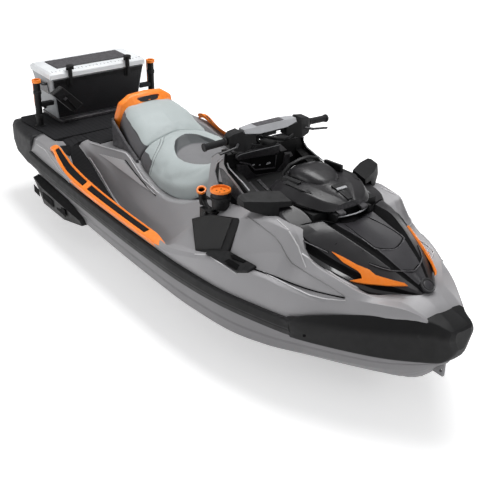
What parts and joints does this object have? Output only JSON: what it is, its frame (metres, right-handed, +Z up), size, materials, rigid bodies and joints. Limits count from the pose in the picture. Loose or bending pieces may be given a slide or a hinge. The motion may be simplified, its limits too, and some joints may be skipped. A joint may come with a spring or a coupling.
{
  "type": "personal watercraft",
  "caption": "Three-seat fishing jet boat with straddle seat, handlebar, hood, jet drive, swim platform, cooler and rod holders.",
  "frame": {"origin": "on the centre plane at the still-water line, midway between the bumper nose and the platform's edge", "axes": "+X to the bow, +Y to port, +Z up; the keel runs along X and lies 0.30 m under the origin"},
  "size_m": [3.73, 1.276, 1.082],
  "materials": {
    "gelcoat_grey": "metallic grey gelcoat, glossy",
    "black_rubber": "matt black bumper rubber",
    "black_plastic": "grained black plastic",
    "steel": "brushed stainless steel",
    "foam_mat": "grooved foam traction mat",
    "orange_plastic": "satin orange plastic",
    "seat_vinyl": "grained marine vinyl",
    "charcoal_plastic": "fine-grained charcoal plastic",
    "black_gloss": "gloss black plastic",
    "cooler_shell": "rotomoulded light grey plastic",
    "cooler_lid_white": "rotomoulded off-white plastic",
    "black_fabric": "coated woven fabric",
    "cast_alloy": "cast and painted aluminium",
    "bar_alloy": "black anodised tube",
    "pad_grey": "light grey soft-touch cover",
    "grip_rubber": "ribbed rubber"
  },
  "bodies": {
    "craft": {"hull": "gelcoat_grey", "deck": "gelcoat_grey", "side_rails": "black_rubber", "bow_bumper": "black_rubber", "swim_platform": "black_plastic", "ladder_lugs": "steel", "rear_deck_mat": "foam_mat", "footwell_mats": "foam_mat", "gunwale_trim": "orange_plastic", "gunwale_pads": "foam_mat", "seat_rear": "seat_vinyl", "seat_front": "seat_vinyl", "grab_hoop": "orange_plastic", "seat_shroud": "gelcoat_grey", "hood": "charcoal_plastic", "hood_intakes": "black_gloss", "bow_accents": "orange_plastic", "nose_badge": "black_gloss", "console": "black_plastic", "storage_coaming": "black_plastic", "cowl_fairings": "charcoal_plastic", "mirrors": "black_gloss", "side_cleats": "black_plastic", "cup_holder": "black_plastic", "cup_rim": "orange_plastic", "front_rod_tube": "black_plastic", "front_rod_ring": "orange_plastic", "accessory_mount": "black_plastic", "fish_finder": "black_plastic", "sponsons": "black_plastic", "cooler_base": "black_plastic", "cooler_body": "cooler_shell", "rear_rod_holders": "black_plastic", "rod_holder_caps": "orange_plastic", "tool_holder": "black_fabric", "jet_pump": "cast_alloy", "stator": "cast_alloy", "ride_plate": "cast_alloy", "intake_grate": "steel", "engine_block": "cast_alloy", "bow_eye": "steel", "stern_eyes": "steel"},
    "steering_head": {"steering_column": "charcoal_plastic", "handlebar": "bar_alloy", "handlebar_pad": "pad_grey", "handgrips": "grip_rubber", "control_housings": "black_plastic", "control_levers": "black_plastic"},
    "storage_lid_body": {"storage_lid": "charcoal_plastic", "gauge_pod": "black_gloss"},
    "glovebox_lid_body": {"glovebox_lid": "black_plastic"},
    "cooler_lid_body": {"cooler_lid": "cooler_lid_white", "cooler_lid_pad": "foam_mat", "cooler_latches": "grip_rubber"},
    "nozzle_body": {"steering_nozzle": "cast_alloy"},
    "bucket_body": {"reverse_bucket": "cast_alloy"},
    "impeller_body": {"impeller": "steel"},
    "ladder_body": {"boarding_ladder": "steel"}
  },
  "joints": [
    {"name": "steering", "type": "hinge", "parent": "craft", "child": "steering_head", "pos_m": [0.318, 0, 0.73], "axis": [-0.253, 0, 0.9675], "range_deg": [-20, 20]},
    {"name": "nozzle_yaw", "type": "hinge", "parent": "craft", "child": "nozzle_body", "pos_m": [-1.5, 0, -0.17], "axis": [0, 0, 1], "range_deg": [-20, 20]},
    {"name": "impeller_spin", "type": "hinge", "parent": "craft", "child": "impeller_body", "pos_m": [-1.2, 0, -0.17], "axis": [1, 0, 0], "continuous": true},
    {"name": "reverse_gate", "type": "hinge", "parent": "craft", "child": "bucket_body", "pos_m": [-1.545, 0, -0.17], "axis": [0, 1, 0], "range_deg": [-56, 0]},
    {"name": "storage_lid_hinge", "type": "hinge", "parent": "craft", "child": "storage_lid_body", "pos_m": [1.118, 0, 0.538], "axis": [0, 1, 0], "range_deg": [0, 60]},
    {"name": "glovebox_hinge", "type": "hinge", "parent": "craft", "child": "glovebox_lid_body", "pos_m": [0.296, 0, 0.637], "axis": [0, 1, 0], "range_deg": [0, 60]},
    {"name": "cooler_lid_hinge", "type": "hinge", "parent": "craft", "child": "cooler_lid_body", "pos_m": [-1.8, 0, 0.584], "axis": [0, -1, 0], "range_deg": [0, 95]},
    {"name": "ladder_hinge", "type": "hinge", "parent": "craft", "child": "ladder_body", "pos_m": [-1.822, 0, 0.072], "axis": [0, 1, 0], "range_deg": [0, 95]}
  ],
  "couplings": [
    {"joint": "nozzle_yaw", "follows": "steering", "ratio": -1}
  ]
}
